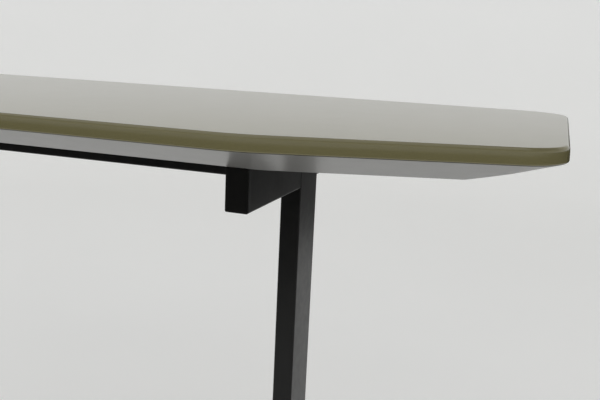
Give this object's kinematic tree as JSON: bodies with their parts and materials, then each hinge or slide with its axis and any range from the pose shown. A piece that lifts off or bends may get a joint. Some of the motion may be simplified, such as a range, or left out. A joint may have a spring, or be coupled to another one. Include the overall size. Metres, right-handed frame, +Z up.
{
  "type": "height adjustable standing desk",
  "caption": "Tapered desk top with a sloping grey underside on a black rectangular-tube frame: motor-driven telescopic columns on flat feet, with a handset under the front edge.",
  "frame": {"origin": "on the floor, under the middle of the desk top", "axes": "+X along the desk, +Y from the user's side to the back edge, +Z up"},
  "size_m": [1.6, 0.7, 1.05],
  "materials": {
    "olive_lacquer": "satin",
    "grey_lacquer": "satin",
    "batten_wood": "matte",
    "black_powder_coat": "satin",
    "black_plastic": "matte",
    "bright_steel": "satin",
    "glide_plastic": "matte",
    "motor_grey": "satin",
    "pad_rubber": "matte",
    "button_grey": "matte"
  },
  "bodies": {
    "base": {"foot_left": "black_powder_coat", "foot_right": "black_powder_coat", "inner_column_left": "black_powder_coat", "inner_column_right": "black_powder_coat", "glide_ring_left": "glide_plastic", "glide_ring_right": "glide_plastic", "spindle_nut_left": "glide_plastic", "spindle_nut_right": "glide_plastic", "foot_cap_front_left": "black_plastic", "foot_cap_back_left": "black_plastic", "foot_cap_front_right": "black_plastic", "foot_cap_back_right": "black_plastic"},
    "top": {"desktop_board": "olive_lacquer", "underside_tray": "grey_lacquer", "batten_front": "batten_wood", "batten_back": "batten_wood", "batten_left": "batten_wood", "batten_right": "batten_wood", "crossbeam": "black_powder_coat", "drive_motor": "motor_grey", "control_box": "black_plastic", "mains_inlet": "black_plastic", "handset_body": "black_plastic", "outer_column_left": "black_powder_coat", "outer_column_right": "black_powder_coat", "column_collar_left": "black_plastic", "column_collar_right": "black_plastic", "gear_housing_left": "motor_grey", "gear_housing_right": "motor_grey", "spindle_bearing_left": "bright_steel", "spindle_bearing_right": "bright_steel", "arm_front_left": "black_powder_coat", "arm_back_left": "black_powder_coat", "arm_front_right": "black_powder_coat", "arm_back_right": "black_powder_coat", "arm_cap_front_left": "black_plastic", "arm_cap_back_left": "black_plastic", "arm_cap_front_right": "black_plastic", "arm_cap_back_right": "black_plastic", "arm_screw_front_left": "bright_steel", "arm_screw_back_left": "bright_steel", "arm_screw_front_right": "bright_steel", "arm_screw_back_right": "bright_steel"},
    "drive_shaft": {"drive_shaft_left": "bright_steel", "drive_shaft_right": "bright_steel", "shaft_gear_left": "bright_steel", "shaft_gear_right": "bright_steel"},
    "spindle_left": {"spindle_left": "bright_steel", "spindle_gear_left": "bright_steel"},
    "spindle_right": {"spindle_right": "bright_steel", "spindle_gear_right": "bright_steel"},
    "button_up": {"button_up": "button_grey"},
    "button_down": {"button_down": "button_grey"},
    "pad_front_left": {"levelling_pad_front_left": "pad_rubber"},
    "pad_back_left": {"levelling_pad_back_left": "pad_rubber"},
    "pad_front_right": {"levelling_pad_front_right": "pad_rubber"},
    "pad_back_right": {"levelling_pad_back_right": "pad_rubber"}
  },
  "joints": [
    {"name": "lift", "type": "slide", "parent": "base", "child": "top", "axis": [0, 0, 1], "range_m": [-0.35, 0.1]},
    {"name": "shaft_turn", "type": "hinge", "parent": "top", "child": "drive_shaft", "pos_m": [0, 0.018, 0.965], "axis": [1, 0, 0], "range_deg": [-7880, 2255]},
    {"name": "spindle_left_turn", "type": "hinge", "parent": "top", "child": "spindle_left", "pos_m": [-0.4005, 0.018, 0.965], "axis": [0, 0, 1], "range_deg": [-7880, 2255]},
    {"name": "spindle_right_turn", "type": "hinge", "parent": "top", "child": "spindle_right", "pos_m": [0.4005, 0.018, 0.965], "axis": [0, 0, 1], "range_deg": [-2255, 7880]},
    {"name": "press_up", "type": "slide", "parent": "top", "child": "button_up", "axis": [0, 1, 0], "range_m": [0, 0.002], "stiffness_N_per_m": 600, "springref_m": -0.001},
    {"name": "press_down", "type": "slide", "parent": "top", "child": "button_down", "axis": [0, 1, 0], "range_m": [0, 0.002], "stiffness_N_per_m": 600, "springref_m": -0.001},
    {"name": "level_front_left", "type": "slide", "parent": "base", "child": "pad_front_left", "axis": [0, 0, 1], "range_m": [-0.012, 0]},
    {"name": "level_back_left", "type": "slide", "parent": "base", "child": "pad_back_left", "axis": [0, 0, 1], "range_m": [-0.012, 0]},
    {"name": "level_front_right", "type": "slide", "parent": "base", "child": "pad_front_right", "axis": [0, 0, 1], "range_m": [-0.012, 0]},
    {"name": "level_back_right", "type": "slide", "parent": "base", "child": "pad_back_right", "axis": [0, 0, 1], "range_m": [-0.012, 0]}
  ],
  "couplings": [
    {"joint": "spindle_left_turn", "follows": "lift", "rad_per_m": 392.7},
    {"joint": "shaft_turn", "follows": "lift", "rad_per_m": 392.7},
    {"joint": "spindle_right_turn", "follows": "lift", "rad_per_m": -392.7}
  ]
}
